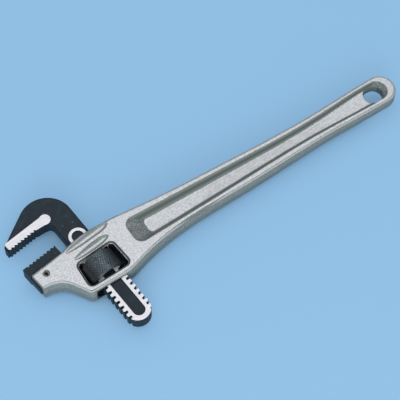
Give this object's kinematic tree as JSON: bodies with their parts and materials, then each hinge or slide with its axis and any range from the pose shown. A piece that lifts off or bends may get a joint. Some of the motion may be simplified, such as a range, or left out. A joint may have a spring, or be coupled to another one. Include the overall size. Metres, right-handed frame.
{
  "type": "pipe wrench",
  "caption": "Offset pipe wrench: cast handle with sunk panels and a hang hole, toothed heel jaw, and a hook jaw on a threaded shank that a knurled nut moves.",
  "frame": {"origin": "centre of the hang hole, on the middle plane of the handle", "axes": "+X along the handle to its free end, +Y to the side of the hook jaw, +Z square to the flat faces"},
  "size_m": [0.3577, 0.1397, 0.0312],
  "materials": {
    "cast_aluminium": "satin, fine-grained casting",
    "black_steel": "black oxide on forged steel, ground bright on the lands and tooth crests",
    "black_nut": "black oxide, knurled",
    "plain_steel": "plain steel, a little stained",
    "spring_steel": "blued spring steel"
  },
  "bodies": {
    "handle": {"handle": "cast_aluminium", "heel_jaw": "black_steel", "heel_jaw_pin": "plain_steel", "coil_spring": "spring_steel"},
    "spring_leaf": {"flat_spring": "spring_steel", "spring_rivet": "plain_steel"},
    "nut": {"adjusting_nut": "black_nut"},
    "hook": {"hook_jaw": "black_steel"}
  },
  "joints": [
    {"name": "jaw_rock", "type": "hinge", "parent": "handle", "child": "spring_leaf", "pos_m": [-0.27868, -0.01047, 0], "axis": [0, 0, 1], "range_deg": [-3.5, 0], "stiffness_Nm_per_rad": 1.4, "springref_deg": 6.88, "deforming": ["coil_spring"]},
    {"name": "hook_slide", "type": "slide", "parent": "spring_leaf", "child": "hook", "axis": [-0.0785, 0.9969, 0], "range_m": [-0.0195, 0.04]},
    {"name": "nut_spin", "type": "hinge", "parent": "spring_leaf", "child": "nut", "pos_m": [-0.27868, -0.01047, 0], "axis": [-0.0785, 0.9969, 0], "range_deg": [-2667, 1301]}
  ],
  "couplings": [
    {"joint": "nut_spin", "follows": "hook_slide", "rad_per_m": -1163.6}
  ]
}
